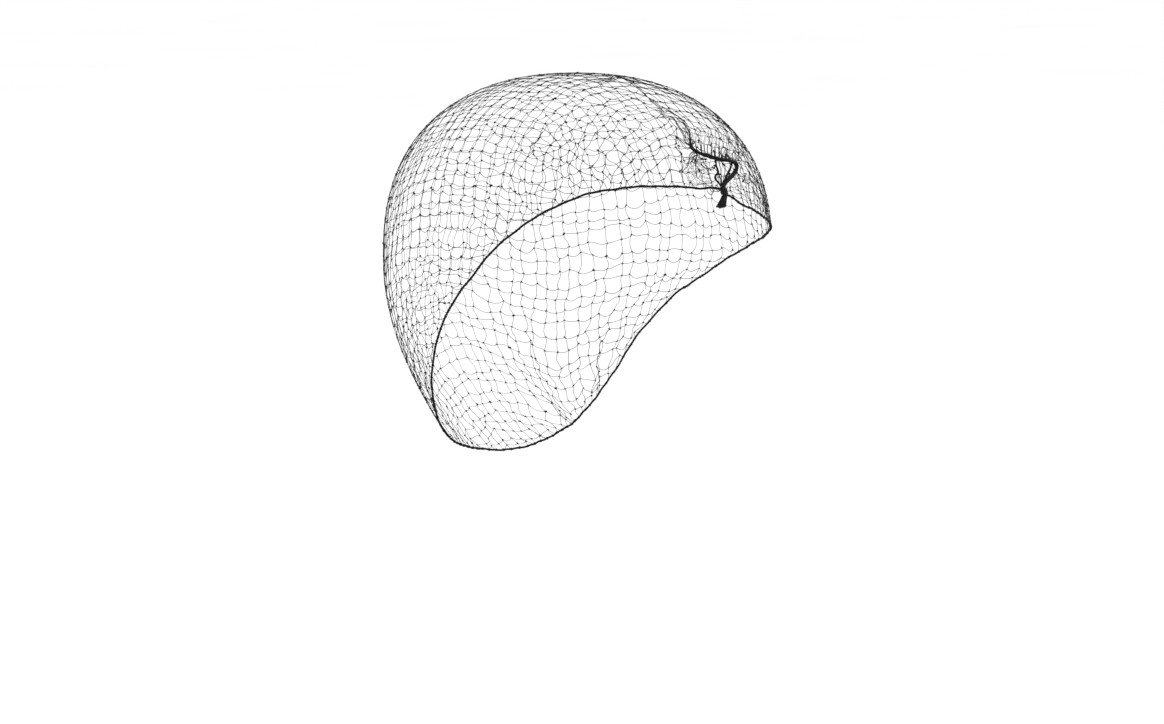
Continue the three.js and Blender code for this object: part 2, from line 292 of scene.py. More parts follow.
def relief(points):
    """How far pleats and the fold lift the net: cosine ridges by the angle about the knot, faded with
    distance from it, or a bell across the fold's line, whichever is higher."""
    drop = WALL - points[..., 2]
    away = np.linalg.norm(points - KNOT_SPOT, axis=-1)
    side = points[..., 0] - KNOT_SPOT[0]
    rise = np.sqrt(np.clip(away**2 - side**2, 0, None)) * np.sign(KNOT_DROP - drop)
    angle = np.degrees(np.arctan2(side, rise))
    every = PLEATS["every"]
    fan = ease(angle, PLEATS["from"], PLEATS["from"] + every)
    fan = fan * (1 - ease(angle, PLEATS["to"] - every, PLEATS["to"]))
    fan = fan * ease(away, PLEATS["near"], PLEATS["full"])
    fan = fan * (1 - ease(away, PLEATS["full"], PLEATS["far"]))
    pleat = PLEATS["height"] * fan * (0.5 + 0.5 * np.cos(2 * np.pi * angle / every))
    off_line = (points[..., 0] - along_table(FOLD_LINE[:, 0], FOLD_LINE[:, 1], drop)) / FOLD["wide"]
    on_fold = ease(drop, 0, FOLD["to"]) * (1 - ease(drop, FOLD["full"], FOLD["from"]))
    fold = np.where(points[..., 1] > 0, 0, FOLD["height"] * on_fold * np.exp(-(off_line**2)))
    return np.maximum(pleat, fold)


def raised(turn, drop, out):
    """Points above the net: the form's point + outward (out + the highest relief close by)."""
    beside = np.asarray(turn)[..., None] + np.linspace(-3, 3, 5)
    lift = relief(form_point(beside, np.asarray(drop)[..., None])).max(axis=-1) + out
    point = form_point(turn, drop)
    return point + outward(point) * lift[..., None]


def strand_line(rows, count):
    """Middle points and widths along a strand: its rows laid on the net by half a width and a gap, with
    a smooth curve through them by distance."""
    spots = raised(rows[:, 0], rows[:, 1], rows[:, 2] / 2 + GAP)
    travel = travel_along(spots)
    at = np.linspace(0, travel[-1], count)
    return along_table(travel, spots, at), along_table(travel, rows[:, 2], at)


drawn_bunch = np.column_stack([BUNCH[:, :2], BUNCH[:, 2] * BUNCH_DRAWN])
bunch_line, bunch_wide = strand_line(drawn_bunch, BUNCH_POINTS)
mouth_drop = np.array(KNOT_DROP - KNOT_TALL / 2 + MOUTH_DEEP)
knot_mouth = raised(np.array(KNOT_TURN), mouth_drop, KNOT_WIDE / 2 + GAP)
bunch_line = np.concatenate([knot_mouth[None], bunch_line])
bunch_wide = np.concatenate([[MOUTH_SHARE * bunch_wide[0]], bunch_wide])
bunch_travel = travel_along(bunch_line)
print("bunch is", round(bunch_travel[-1]), "mm long")

# %% [markdown]
# The net is knotted as a bag whose cells stay nearly square. Rings and spokes would crowd together at
# the top. So it is laid as a sheet over the top, with strips that hang from its rim down both sides and
# the back and meet at the two back corners, as the faces of a box do. A knot of the sheet keeps its
# direction and its distance from the middle, now measured down over the form, and a knot of a strip lies
# straight below the rim. The rows of the strips then lie level.

# %% lay the flat net on the form
CELL = 6.1
TOP_SIDE = 10
TOP_BACK = 13
FRONT_ROWS = 22
DOWN_ROWS = 34
LOWEST = 185
DROP_STEPS = 240


def drop_along(turn, far):
    """Drops reached by going a distance down from the top at each turn: the distances along closely
    spaced drops are summed, and the place is read between the two nearest."""
    drops = LOWEST * np.linspace(0, 1, DROP_STEPS) ** 2
    line = form_point(turn[..., None], drops)
    travel = np.linalg.norm(np.diff(line, axis=-2), axis=-1).cumsum(axis=-1)
    travel = np.concatenate([np.zeros((*turn.shape, 1)), travel], axis=-1)
    step = np.clip((travel < far[..., None]).sum(axis=-1), 1, len(drops) - 1)
    before = np.take_along_axis(travel, step[..., None] - 1, axis=-1)[..., 0]
    after = np.take_along_axis(travel, step[..., None], axis=-1)[..., 0]
    share = np.clip((far - before) / (after - before), 0, 1)
    return drops[step - 1] * (1 - share) + drops[step] * share


SIDE_ROWS = TOP_SIDE + DOWN_ROWS
BACK_ROWS = TOP_BACK + DOWN_ROWS
column, row = np.meshgrid(np.arange(-SIDE_ROWS, SIDE_ROWS + 1), np.arange(-BACK_ROWS, FRONT_ROWS + 1))
top_column = np.clip(column, -TOP_SIDE, TOP_SIDE)
top_row = np.maximum(row, -TOP_BACK)
below_rim = np.abs(column - top_column) + top_row - row
lay_turn = np.degrees(np.arctan2(top_column, top_row))
lay_drop = drop_along(lay_turn, CELL * (np.hypot(top_column, top_row) + below_rim))
print("the net has", column.size, "crossings before it is cut")

# %% [markdown]
# The edge's slanting line cuts the net. Knots above it are kept, and so the corners between the strips
# are left out: there the back strip's outer knots are the side strips' own. A thread that crosses the
# line becomes a leg, which is tied to the elastic at the crossing.

# %% cut the net along its edge
EDGE_ROOM = 2.2

corner = (np.abs(column) > TOP_SIDE) & (row < -TOP_BACK)
shared = (np.abs(column) == TOP_SIDE) & (row < -TOP_BACK)
room = edge_drop(lay_turn) - lay_drop
kept = (room > EDGE_ROOM) & ~corner
own = kept & ~shared
number = np.full(kept.shape, -1)
number[own] = np.arange(own.sum())
down = np.arange(1, DOWN_ROWS + 1)
for side in (-1, 1):
    rim = SIDE_ROWS + side * TOP_SIDE
    number[DOWN_ROWS - down, rim] = number[DOWN_ROWS, rim + side * down]
    kept[DOWN_ROWS - down, rim] = kept[DOWN_ROWS, rim + side * down]

side_pair = kept[:, :-1] & kept[:, 1:]
front_pair = kept[:-1] & kept[1:] & ~shared[:-1]
side_threads = np.stack([number[:, :-1][side_pair], number[:, 1:][side_pair]], axis=1)
front_threads = np.stack([number[:-1][front_pair], number[1:][front_pair]], axis=1)
threads = np.concatenate([side_threads, front_threads])

leg_knots = []
meet_turns = []
for step in ((0, 1), (0, -1), (1, 0), (-1, 0)):
    beyond = (-step[0], -step[1])
    open_end = (own if step == (-1, 0) else kept) & ~np.roll(kept | corner, beyond, axis=(0, 1))
    turn_on = np.roll(lay_turn, beyond, axis=(0, 1))[open_end] - lay_turn[open_end]
    room_on = np.roll(room, beyond, axis=(0, 1))[open_end]
    share = np.clip(room[open_end] / (room[open_end] - room_on), 0, 1)
    leg_knots.append(number[open_end])
    meet_turns.append(lay_turn[open_end] + share * half_turned(turn_on))
leg_knots = np.concatenate(leg_knots)
meet_turns = np.concatenate(meet_turns)
meets = elastic_point(meet_turns)
print(own.sum(), "knots,", len(threads), "threads,", len(leg_knots), "legs to the elastic")

# %% [markdown]
# At the front the spare net is drawn up. The front to back threads near the middle are held by the
# bunch, and run up from it side by side as pleats, which lean to the wearer's left. The feet and the
# tops of the pleats are two short tables, and each thread of the row takes its place along them.

# %% gather the front
BUNCH_ROW = 13
PLEAT_ROWS = 3
BUNCH_COLUMNS = 3
PLEAT_FEET = np.array([
    (-11, 30.3), (-7.2, 30), (-4, 33.4), (-1.2, 34.4), (1.8, 35.1), (5.2, 35.8), (8.8, 37.2),
])
PLEAT_TOPS = np.array([
    (-8, 20.5), (0.2, 21.9), (6.2, 21.9), (12.8, 22.9), (20, 24.2), (27.8, 26.6), (35.8, 30.4),
])

in_pleat = (np.abs(column) <= BUNCH_COLUMNS) & (row <= BUNCH_ROW) & (row >= BUNCH_ROW - PLEAT_ROWS)
pleat_order = np.arange(len(PLEAT_FEET))
pleat_place = (column[in_pleat] + BUNCH_COLUMNS) / (2 * BUNCH_COLUMNS) * pleat_order[-1]
pleat_up = ((BUNCH_ROW - row[in_pleat]) / PLEAT_ROWS)[:, None]
pleat_spot = along_table(pleat_order, PLEAT_FEET, pleat_place) * (1 - pleat_up)
pleat_spot = pleat_spot + along_table(pleat_order, PLEAT_TOPS, pleat_place) * pleat_up
print(in_pleat.sum(), "knots are held in the pleats")

# %% [markdown]
# How does the rest settle? The threads pull, the knots slide, and the cells skew until all pulls
# balance. Blender's cloth could do this, but the sum is small enough to work out directly: springs along
# the threads, knots kept on the form, legs tied to the elastic, and the pleats held. Widths differ from
# ladder to ladder of the net, so the springs' own lengths do too.

# %% stretch the net over the form
REST = 5.4
REST_RANGE = (0.4, 1.7)
LEG_REST = 0.55 * REST
SLACK_PUSH = 0.45
UNEVEN = 0.2
APEX_DROP = 1e-3
ROUNDS = 160
STEP = 0.2
KEEP_GOING = 0.8


def ladder_lengths(pairs_here, axis):
    """Spring lengths that differ from ladder to ladder and drift slowly along each: random numbers,
    averaged over five neighbours along the ladder."""
    noise = chance.normal(size=pairs_here.shape)
    calm = sum(np.roll(noise, shift, axis=axis) for shift in (-2, -1, 0, 1, 2)) / np.sqrt(5)
    return REST * np.clip(1 + UNEVEN * calm[pairs_here], *REST_RANGE)


def settle(knots, rest, held):
    """Moves knots by the pull of their threads, length - rest for each, round after round, and puts them
    back on the form. A thread that is too short pushes, but less than it would pull."""
    speed = np.zeros_like(knots)
    free = np.ones((len(knots), 1))
    free[held] = 0
    for _ in range(ROUNDS):
        span = knots[threads[:, 1]] - knots[threads[:, 0]]
        length = np.linalg.norm(span, axis=1)
        taut = np.where(length > rest, 1, SLACK_PUSH) * (1 - rest / length)
        pull = np.zeros_like(knots)
        np.add.at(pull, threads[:, 0], span * taut[:, None])
        np.add.at(pull, threads[:, 1], -span * taut[:, None])
        reach = meets - knots[leg_knots]
        long = np.linalg.norm(reach, axis=1)
        np.add.at(pull, leg_knots, reach * np.clip(1 - LEG_REST / long, -1, 1)[:, None])
        speed = (KEEP_GOING * speed + STEP * pull) * free
        knots = on_form(knots + speed, halvings=12)
    return knots


rest = np.concatenate([ladder_lengths(side_pair, 0), ladder_lengths(front_pair, 1)])
held = in_pleat[own]
knots = form_point(lay_turn[own], np.maximum(lay_drop[own], APEX_DROP))
knots[held] = form_point(pleat_spot[:, 0], pleat_spot[:, 1])
knots = settle(knots, rest, held)
cell = np.linalg.norm(knots[threads[:, 1]] - knots[threads[:, 0]], axis=1)
print("threads between knots: mean", cell.mean().round(1), "mm, longest", cell.max().round(1))

# %% [markdown]
# Creases show as lines where the net is doubled and the knots crowd together. Three are drawn in here:
# the long fold from the bunch to the top, a shorter one across the top, and a wrinkle on the wearer's
# right side. Points near such a line are moved towards it.

# %% draw the net in along its creases
LONG_FOLD = np.array([
    (-7.5, -72.3, -22.6), (-7.0, -64.9, -16.3), (-12.8, -60.5, -14.1), (-9.7, -55.1, -10.5),
    (-9.3, -47.6, -7.1), (-4.1, -34.1, -2.5), (-1.0, -25.4, -0.7),
])
WRINKLE = np.array([
    (-71.4, -4.7, -44.0), (-67.8, -16.5, -37.5), (-62.5, -26.2, -30.9), (-55.7, -39.4, -27.5),
    (-51.8, -44.8, -26.0),
])
TOP_FOLD = form_point(np.array([-29, -4.8, 7.5, 15.5]), np.array([2.1, 1.9, 3.3, 5.8]))
CREASES = [(LONG_FOLD, 7.0, 0.75), (WRINKLE, 6.0, 0.55), (TOP_FOLD, 5.0, 0.6)]
CREASE_POINTS = 60


def smooth_line(spots, count):
    """A smooth curve through points, at even distances."""
    travel = travel_along(spots)
    return along_table(travel, spots, np.linspace(0, travel[-1], count))


def drawn_in(points):
    """Points near a crease moved part of the way to its nearest point, by a strength that falls off as
    exp(-(distance / width)^2) and fades out at the crease's ends."""
    moved = points
    for spots, wide, strength in CREASES:
        line = on_form(smooth_line(spots, CREASE_POINTS))
        gaps = np.linalg.norm(moved[..., None, :] - line, axis=-1)
        nearest = gaps.argmin(axis=-1)
        fade = np.sqrt(np.sin(np.pi * (nearest + 0.5) / CREASE_POINTS))
        pull = strength * fade * np.exp(-((gaps.min(axis=-1) / wide) ** 2))
        moved = moved + (line[nearest] - moved) * pull[..., None]
    return moved


print("longest move into a crease:", np.linalg.norm(drawn_in(knots) - knots, axis=1).max().round(1), "mm")

# %% [markdown]
# A thread between two knots is seldom straight: spare thread hangs downhill or bows to one side. Each
# one gets six points, bowed and laid back on the form, drawn into the creases and lifted over the
# pleats. Legs leave the form at their last point to reach the elastic.

# %% paths of the threads
THREAD_POINTS = 6
SAG = 0.12
SAG_RANGE = (0.2, 1.6)
BOW = 0.07
JITTER = 0.6
NET_DEPTH = -0.35
NEAR_BUNCH = 3.5
BUNCH_LIFT = 1.3
UPWARD = np.array([0, 0, 1.0])


def net_lift(points):
    """How far threads lie above the form: in the net's wall, up over the pleats, and up to the bunch by
    lift exp(-(distance / near)^2)."""
    gaps = np.linalg.norm(points[..., None, :] - bunch_line[::3], axis=-1).min(axis=-1)
    return NET_DEPTH + relief(points) + BUNCH_LIFT * np.exp(-((gaps / NEAR_BUNCH) ** 2))


def in_net(points, above=0):
    """Points of the form lifted to where threads lie, or above, and their outward directions."""
    out = outward(points)
    return points + out * (net_lift(points) + above)[..., None], out


def bowed(starts, span, bow, t):
    """Paths from points along their spans, with a bow that grows as 4 t (1 - t)."""
    return starts[:, None] + span[:, None] * t + bow[:, None] * 4 * t * (1 - t)


def thread_paths(starts, ends):
    """Paths between pairs of points: a straight line, bowed downhill by a sag and to one side, with a
    sine wave across it, laid on the form."""
    t = np.linspace(0, 1, THREAD_POINTS)[None, :, None]
    span = ends - starts
    long = np.linalg.norm(span, axis=1, keepdims=True)
    out = outward((starts + ends) / 2)
    downhill = -UPWARD + out * out[:, 2:]
    level_share = 1 - (np.sum(span * downhill, axis=1, keepdims=True) / long) ** 2
    sag = downhill * long * level_share * SAG * chance.uniform(*SAG_RANGE, (len(span), 1))
    bow = np.cross(out, span) * chance.normal(0, BOW, (len(span), 1))
    wave = np.cross(out, span) * chance.normal(0, BOW / 2, (len(span), 1))
    return on_form(bowed(starts, span, sag + bow, t) + wave[:, None] * np.sin(2 * np.pi * t))


def above_edge(points):
    """Points that have slipped below the net's edge, moved straight up to just above it. A point's turn
    is found by undoing form_point at its own level."""
    drop, wide, long = shares_at(points)
    turn = np.degrees(np.arctan2(bent(wide, PLAN_ROUNDNESS / 2), -bent(long, PLAN_ROUNDNESS / 2)))
    lowest = edge_drop(turn) - EDGE_ROOM / 2
    return np.where((drop > lowest)[:, None], form_point(turn, lowest), points)


print("threads lie", -NET_DEPTH, "mm inside the form, with", THREAD_POINTS, "points each")

# %% lay the threads
knots = above_edge(on_form(knots + chance.normal(0, JITTER, knots.shape) * ~held[:, None]))
inner_paths, inner_out = in_net(drawn_in(thread_paths(knots[threads[:, 0]], knots[threads[:, 1]])))
leg_paths, leg_out = in_net(drawn_in(thread_paths(knots[leg_knots], on_form(meets))))
reach_in = np.linspace(0, 1, THREAD_POINTS)[None, :, None] ** 3
leg_paths = leg_paths + (meets - leg_paths[:, -1])[:, None] * reach_in
knot_spots, knot_out = in_net(drawn_in(knots))
print(len(inner_paths) + len(leg_paths), "thread paths laid")

# %% [markdown]
# Every piece of thread is a skin of rings carried along a path. Curves with a round bevel would do the
# same, but thousands of them are slow to handle. Here the paths are one array, and so are all the ring
# points and faces. A UV map holds the millimetres along each thread and the share of a turn round it,
# and an attribute gives each thread its own shade.

# %% skins for threads
THREAD_SIDES = 4


def thread_skin(paths, radius, sides, lift):
    """Rings carried along paths, with closed ends. A ring's point is the path's point + radius (cos a
    across + sin a over), where across is square to the path and to lift, and over is square to both."""
    count, length = paths.shape[:2]
    ahead = unit(np.gradient(paths, axis=1))
    side = unit(np.cross(np.broadcast_to(lift, paths.shape), ahead))
    over = np.cross(ahead, side)
    angle = 2 * np.pi * np.arange(sides) / sides
    spokes = np.cos(angle)[:, None] * side[:, :, None] + np.sin(angle)[:, None] * over[:, :, None]
    points = paths[:, :, None] + np.broadcast_to(radius, (count, length))[:, :, None, None] * spokes

    ring = np.arange(points[..., 0].size).reshape(count, length, sides)
    near, far = ring[:, :-1], ring[:, 1:]
    walls = np.stack([near, np.roll(near, -1, axis=2), np.roll(far, -1, axis=2), far], axis=-1)
    ends = np.concatenate([ring[:, 0, ::-1], ring[:, -1]])

    steps = np.linalg.norm(np.diff(paths, axis=1), axis=2).cumsum(axis=1)
    travel = np.concatenate([np.zeros((count, 1)), steps], axis=1)
    turn = np.arange(sides) / sides
    u = np.stack([travel[:, :-1], travel[:, :-1], travel[:, 1:], travel[:, 1:]], axis=-1)
    v = np.stack([turn, turn + 1 / sides, turn + 1 / sides, turn], axis=-1)
    wall_uv = np.stack(np.broadcast_arrays(u[:, :, None], v), axis=-1)
    shade = np.repeat(chance.uniform(0, 1, count), length * sides)
    return {
        "points": points.reshape(-1, 3),
        "faces": [walls.reshape(-1, 4), ends],
        "uv": [wall_uv.reshape(-1, 2), np.zeros((ends.size, 2))],
        "shade": shade,
    }


print("a thread of the net gets", THREAD_SIDES * (THREAD_POINTS - 1), "walls and two ends")

# %% fill a mesh from skins
def make_piece(name, skins, material, stands_for=None):
    """One mesh object of several skins: points in metres, faces by loop starts, UV map and shades."""
    starts = np.cumsum([0] + [len(skin["points"]) for skin in skins])
    faces = [f + start for skin, start in zip(skins, starts) for f in skin["faces"]]
    corners = np.concatenate([f.ravel() for f in faces])
    sizes = np.concatenate([np.full(len(f), f.shape[1]) for f in faces])
    mesh = bpy.data.meshes.new(name)
    mesh.vertices.add(starts[-1])
    mesh.vertices.foreach_set("co", np.concatenate([skin["points"] for skin in skins]).ravel() * MM)
    mesh.loops.add(len(corners))
    mesh.loops.foreach_set("vertex_index", corners)
    mesh.polygons.add(len(sizes))
    mesh.polygons.foreach_set("loop_start", np.concatenate([[0], np.cumsum(sizes)[:-1]]))
    mesh.update(calc_edges=True)
    mesh.polygons.foreach_set("use_smooth", np.ones(len(sizes), bool))
    uv = np.concatenate([part for skin in skins for part in skin["uv"]])
    mesh.uv_layers.new(name="thread").data.foreach_set("uv", uv.ravel())
    shade = mesh.attributes.new("shade", "FLOAT", "POINT")
    shade.data.foreach_set("value", np.concatenate([skin["shade"] for skin in skins]))
    mesh.materials.append(material)
    piece = bpy.data.objects.new(name, mesh)
    bpy.context.scene.collection.objects.link(piece)
    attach(piece, "root")
    if stands_for:
        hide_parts(stands_for)
    print(name, "has", int((sizes - 2).sum()), "triangles")


# %% [markdown]
# Colours are given as sRGB hex values, and shaders want linear light, so one function turns them.
# Another adds a shader node with its settings and links.

# %% shader helpers
def linear(code):
    """sRGB hex to linear light: c / 12.92 for dark parts, ((c + 0.055) / 1.055)^2.4 for the rest."""
    parts = np.array([int(code[i : i + 2], 16) for i in (1, 3, 5)]) / 255
    light = np.where(parts <= 0.04045, parts / 12.92, ((parts + 0.055) / 1.055) ** 2.4)
    return (*light.tolist(), 1.0)


def add(material, kind, inputs=None, **settings):
    """Adds a node. Settings go on the node, and an input is set, or linked where it is an output."""
    tree = material.node_tree
    node = tree.nodes.new(kind)
    for name, value in settings.items():
        setattr(node, name, value)
    for socket, value in (inputs or {}).items():
        if isinstance(value, bpy.types.NodeSocket):
            tree.links.new(value, node.inputs[socket])
        else:
            node.inputs[socket].default_value = value
    return node


def new_material(name):
    """A material whose node tree is still empty."""
    material = bpy.data.materials.new(name)
    material.use_nodes = True
    material.node_tree.nodes.clear()
    return material


THREAD_BLACK = "#0a0809"
print("black of the thread:", [round(part, 4) for part in linear(THREAD_BLACK)[:3]])

# %% [markdown]
# Hairnet thread is black dyed nylon, a few fine filaments twisted together. To the eye it is a black
# line with a faint satin glint. Some threads took the dye better than others, so the shade differs from
# thread to thread, and a slow drift along the net makes some of it browner.

# %% nylon thread
TWIST_LONG = 0.9  # the real twist is about 0.3 mm; it is drawn coarser so that it can show
DRIFT_LONG = 25  # millimetres from one browner place of the net to the next
# how far the twist's ridges show in the colour: painted highlight on the crests, painted shade in the
# grooves
RIDGE_PAINTED_LIGHT = 0.12
ROUGH_SPREAD = 0.1
NYLON_IOR = 1.53


def twisted_yarn(name, dark, pale, twist, depth, roughness, specular):
    """Yarn of twisted filaments: ridges as a sine of (length / twist + turns), in the bump and faintly in
    the colour, as painted highlight on the crests and painted shade in the grooves, with each thread's
    own shade and a slow drift over the piece."""
    material = new_material(name)
    place = add(material, "ShaderNodeTexCoord")
    along, around, _ = add(material, "ShaderNodeSeparateXYZ", {0: place.outputs["UV"]}).outputs
    coil = add(material, "ShaderNodeMath", {0: along, 1: 1 / twist, 2: around}, operation="MULTIPLY_ADD")
    wave = add(material, "ShaderNodeMath", {0: coil.outputs[0], 1: 2 * np.pi}, operation="MULTIPLY")
    ridge = add(material, "ShaderNodeMath", {0: wave.outputs[0]}, operation="SINE").outputs[0]
    own = add(material, "ShaderNodeAttribute", attribute_name="shade").outputs["Fac"]
    noise = {"Vector": place.outputs["Object"], "Scale": 1 / (DRIFT_LONG * MM), "Detail": 3.0}
    drift = add(material, "ShaderNodeTexNoise", noise).outputs["Fac"]
    dye = add(material, "ShaderNodeMath", {0: own, 1: drift}, operation="MULTIPLY").outputs[0]
    # the ridge adds painted highlight on the crests and painted shade in the grooves to each thread's own
    # dye shade
    tone = add(material, "ShaderNodeMath", {0: ridge, 1: RIDGE_PAINTED_LIGHT, 2: dye}, operation="MULTIPLY_ADD")
    mix = {"Factor": tone.outputs[0], 6: linear(dark), 7: linear(pale)}
    colour = add(material, "ShaderNodeMix", mix, data_type="RGBA")
    spread = {"Value": drift, 3: roughness - ROUGH_SPREAD, 4: roughness + ROUGH_SPREAD}
    rough = add(material, "ShaderNodeMapRange", spread)
    bump = add(material, "ShaderNodeBump", {"Height": ridge, "Strength": 0.5, "Distance": depth * MM})
    shader = add(material, "ShaderNodeBsdfPrincipled", {
        "Base Color": colour.outputs[2],
        "Roughness": rough.outputs[0],
        "Normal": bump.outputs[0],
        "IOR": NYLON_IOR,
        "Specular IOR Level": specular,
    })
    add(material, "ShaderNodeOutputMaterial", {"Surface": shader.outputs[0]})
    return material


nylon_thread = twisted_yarn(
    "black_nylon_thread", THREAD_BLACK, "#2a2425", TWIST_LONG, depth=0.03, roughness=0.55, specular=0.14)
print(nylon_thread.name, "has", len(nylon_thread.node_tree.nodes), "nodes")

# %% [markdown]
# The threads of the net are a quarter of a millimetre thick, and more near the knots, where they double.
# Four sides are enough for a line thinner than a pixel, and each skin follows its path over the form.

# %% the net's threads
THREAD_WIDE = 0.24
MIDDLE_SHARE = 0.95
DOUBLED_SHARE = 0.4

from_middle = np.abs(np.linspace(-1, 1, THREAD_POINTS))
thread_radius = THREAD_WIDE / 2 * (MIDDLE_SHARE + DOUBLED_SHARE * from_middle**4)
net_skins = [
    thread_skin(inner_paths, thread_radius, THREAD_SIDES, inner_out),
    thread_skin(leg_paths, thread_radius, THREAD_SIDES, leg_out),
]
make_piece("net_threads", net_skins, nylon_thread, "net_crown")

# %% [markdown]
# Where threads cross they are tied, and the small hard knots are what the eye sees first: a net looks
# like rows of dots. A knot with turns of its own would be far too fine to show, and there are nearly two
# thousand. So each is a short bead, thick in the middle, that lies more or less level. A few are larger.

# %% the net's knots
KNOT_BEAD = 0.33
BEAD_SHAPE = np.array([0.45, 1.0, 1.0, 0.45])
BEAD_ALONG = np.array([-1.6, -0.6, 0.6, 1.6])
BEAD_SIDES = 6
BEAD_SKEW = 0.5
LARGE_SHARE = 0.03
LARGE_SIZE = 1.4


def bead_skin(spots, way, size, out):
    """Beads at points: rings along each bead's own way, at its size times the shape's values."""
    paths = spots[:, None] + way[:, None] * (BEAD_ALONG[:, None] * size[:, None, None])
    return thread_skin(paths, size[:, None] * BEAD_SHAPE, BEAD_SIDES, out[:, None])


bead_size = KNOT_BEAD * chance.uniform(0.8, 1.2, len(knot_spots))
bead_size = bead_size * np.where(chance.uniform(0, 1, len(knot_spots)) < LARGE_SHARE, LARGE_SIZE, 1)
bead_way = unit(np.cross(knot_out, UPWARD + chance.normal(0, BEAD_SKEW, knot_out.shape)))
bead_skins = [bead_skin(knot_spots, bead_way, bead_size, knot_out)]
make_piece("net_knots", bead_skins, nylon_thread)

# %% [markdown]
# The edge cord is a rubber core wound with black yarn, which gives a dull black line with fine slanting
# ridges. A bump alone would leave its outline smooth, so the radius swells and sinks along a helix. Its
# two ends run into the knot.

# %% the elastic
WINDING = 0.9
WINDING_DEPTH = 0.05
CORD_WIDE = 1.05
ELASTIC_SIDES = 10
ELASTIC_RINGS = 3300
ELASTIC_FINE = 4001
IN_KNOT = 0.7

# twisted_yarn also paints the winding's ridges into the colour: painted highlight on the crests, painted
# shade in the grooves
elastic_yarn = twisted_yarn(
    "black_covered_elastic", "#080809", "#201f21", WINDING, depth=0.05, roughness=0.7, specular=0.14)
turns_fine = np.linspace(KNOT_TURN + IN_KNOT, KNOT_TURN + 360 - IN_KNOT, ELASTIC_FINE)
fine_travel = travel_along(elastic_point(turns_fine))
even = np.linspace(0, fine_travel[-1], ELASTIC_RINGS)
elastic_path = elastic_point(np.interp(even, fine_travel, turns_fine))
elastic_out = outward(elastic_path)
elastic_skin = thread_skin(elastic_path[None], CORD_WIDE / 2, ELASTIC_SIDES, elastic_out[None])
middle = np.repeat(elastic_path, ELASTIC_SIDES, axis=0)
wind = even[:, None] / WINDING + np.arange(ELASTIC_SIDES) / ELASTIC_SIDES
swell = 1 - WINDING_DEPTH + WINDING_DEPTH * np.cos(2 * np.pi * wind).ravel()
elastic_skin["points"] = middle + (elastic_skin["points"] - middle) * swell[:, None]
make_piece("edge_cord", [elastic_skin], elastic_yarn, "edge_elastic")

# %% [markdown]
# Each leg of the net is looped round the elastic. From a distance the loops make the edge look slightly
# beaded. A loop is a little more than one turn of a helix about the cord.

# %% loops on the elastic
LOOP_WIDE = 0.32
LOOP_POINTS = 11
LOOP_TURNS = 1.1
LOOP_LONG = 0.5
LOOP_ROOM = 0.05

meet_out = outward(meets)
meet_ahead = unit(elastic_point(meet_turns + 0.2) - elastic_point(meet_turns - 0.2))
meet_under = np.cross(meet_ahead, meet_out)
loop_t = np.linspace(0, 1, LOOP_POINTS)
loop_angle = 2 * np.pi * (LOOP_TURNS * loop_t + chance.uniform(0, 0.2, (len(meets), 1)))
loop_round = np.cos(loop_angle)[..., None] * meet_out[:, None]
loop_round = loop_round + np.sin(loop_angle)[..., None] * meet_under[:, None]
loop_paths = meets[:, None] + loop_round * (CORD_WIDE / 2 + LOOP_ROOM)
loop_paths = loop_paths + meet_ahead[:, None] * ((loop_t - 0.5) * LOOP_LONG)[:, None]
loop_skin = thread_skin(loop_paths, LOOP_WIDE / 2, THREAD_SIDES, meet_ahead[:, None])
make_piece("edge_loops", [loop_skin], nylon_thread)

# %% [markdown]
# The bunch is the spare net drawn up like a rope. Near the knot all its strands run side by side.
# Further on they leave it one after another, turn up into the pleats and end at knots of the net, so it
# grows thinner, and a tail of a few strands runs on up the crown. Each strand has its own place about
# the middle line and winds round it. The yarn is the net's, with a soft gleam along it; its colour is
# made a shade blacker than the net's, as painted shade of the close packing.

# %% strands about a line
STRAND_WIDE = 0.3
STRAND_SIDES = 5
STRAND_WAVE = 0.2
LEAST_OFFSET = 0.1
BUNCH_TWIST = 1.4

# a darker copy of the net's yarn: its blacker colours are painted shade, and the knot, the tuft, the
# wisps and the folds wear them too
nylon_with_painted_shade = twisted_yarn(
    "black_nylon_with_painted_shade", "#070607", "#242021", TWIST_LONG, depth=0.04, roughness=0.5, specular=0.16)


def wound(lines, wide, twist):
    """Strands wound about their middle lines: offset (wide / 2) share (cos, sin)(own angle + twist),
    with two slow waves of the strand's own in the distance."""
    count, length = lines.shape[:2]
    t = np.linspace(0, 1, length)
    out = outward(lines)
    ahead = unit(np.gradient(lines, axis=1))
    side = unit(np.cross(out, ahead))
    over = np.cross(ahead, side)
    share = np.sqrt(chance.uniform(0.05, 1, (count, 1)))
    angle = chance.uniform(0, 2 * np.pi, (count, 1)) + 2 * np.pi * twist * t
    waves = np.zeros((count, length))
    for beats in (2, 5):
        phase = chance.uniform(0, 1, (count, 1))
        beat = np.sin(2 * np.pi * (beats * t + phase))
        waves = waves + chance.normal(0, STRAND_WAVE, (count, 1)) * beat
    far = np.maximum(wide / 2 - STRAND_WIDE / 2, LEAST_OFFSET) * share * (1 + waves)
    offset = np.cos(angle)[..., None] * side + np.sin(angle)[..., None] * over
    return lines + far[..., None] * offset, out


def nearest_knots(points):
    """The net's knot that is nearest to each point, so that a loose strand can end where one is tied."""
    return knot_spots[np.linalg.norm(points[:, None] - knot_spots, axis=2).argmin(axis=1)]


print(nylon_with_painted_shade.name, "has", len(nylon_with_painted_shade.node_tree.nodes), "nodes")

# %% strands that turn up into the pleats
LEAVING_POINTS = 90
PLEATS_DRAWN = 17
STRANDS_EACH = 2
PLEAT_SHAKE = 0.08
PLEAT_RANGE = (0.7, 1.15)
STUB_SHARE = 0.35
STUB_WIDE = 1.8

